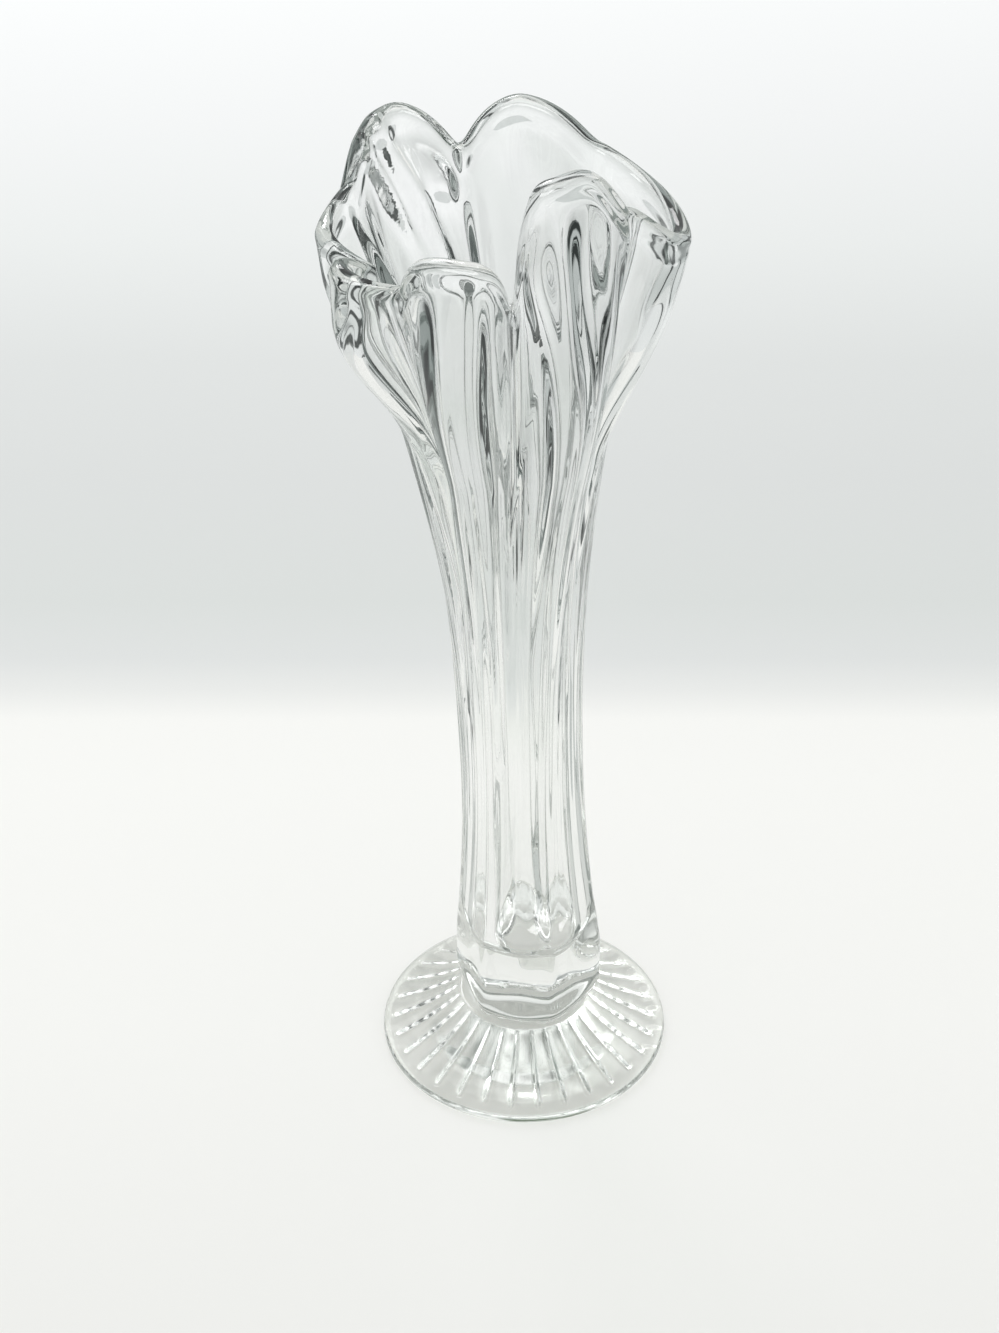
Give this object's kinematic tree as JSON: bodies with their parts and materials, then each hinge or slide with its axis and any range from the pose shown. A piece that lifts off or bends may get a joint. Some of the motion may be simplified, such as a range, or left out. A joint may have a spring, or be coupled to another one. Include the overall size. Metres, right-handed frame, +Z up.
{
  "type": "trumpet vase",
  "caption": "Clear glass trumpet vase: a flared mouth pulled into uneven lobes above a slim twisted column with flat panels, fused on a low domed foot with radial ribs.",
  "frame": {"origin": "centre of the foot's underside, in the plane that the vase stands on", "axes": "+Z up out of the mouth; -Y towards the viewer and +X to the viewer's right in the picture"},
  "size_m": [0.0926, 0.0851, 0.3051],
  "materials": {
    "body_glass": "clear, fire polished",
    "foot_glass": "clear, fire polished"
  },
  "bodies": {
    "root": {"ribbed_foot": "foot_glass", "lobed_body": "body_glass"}
  },
  "joints": []
}
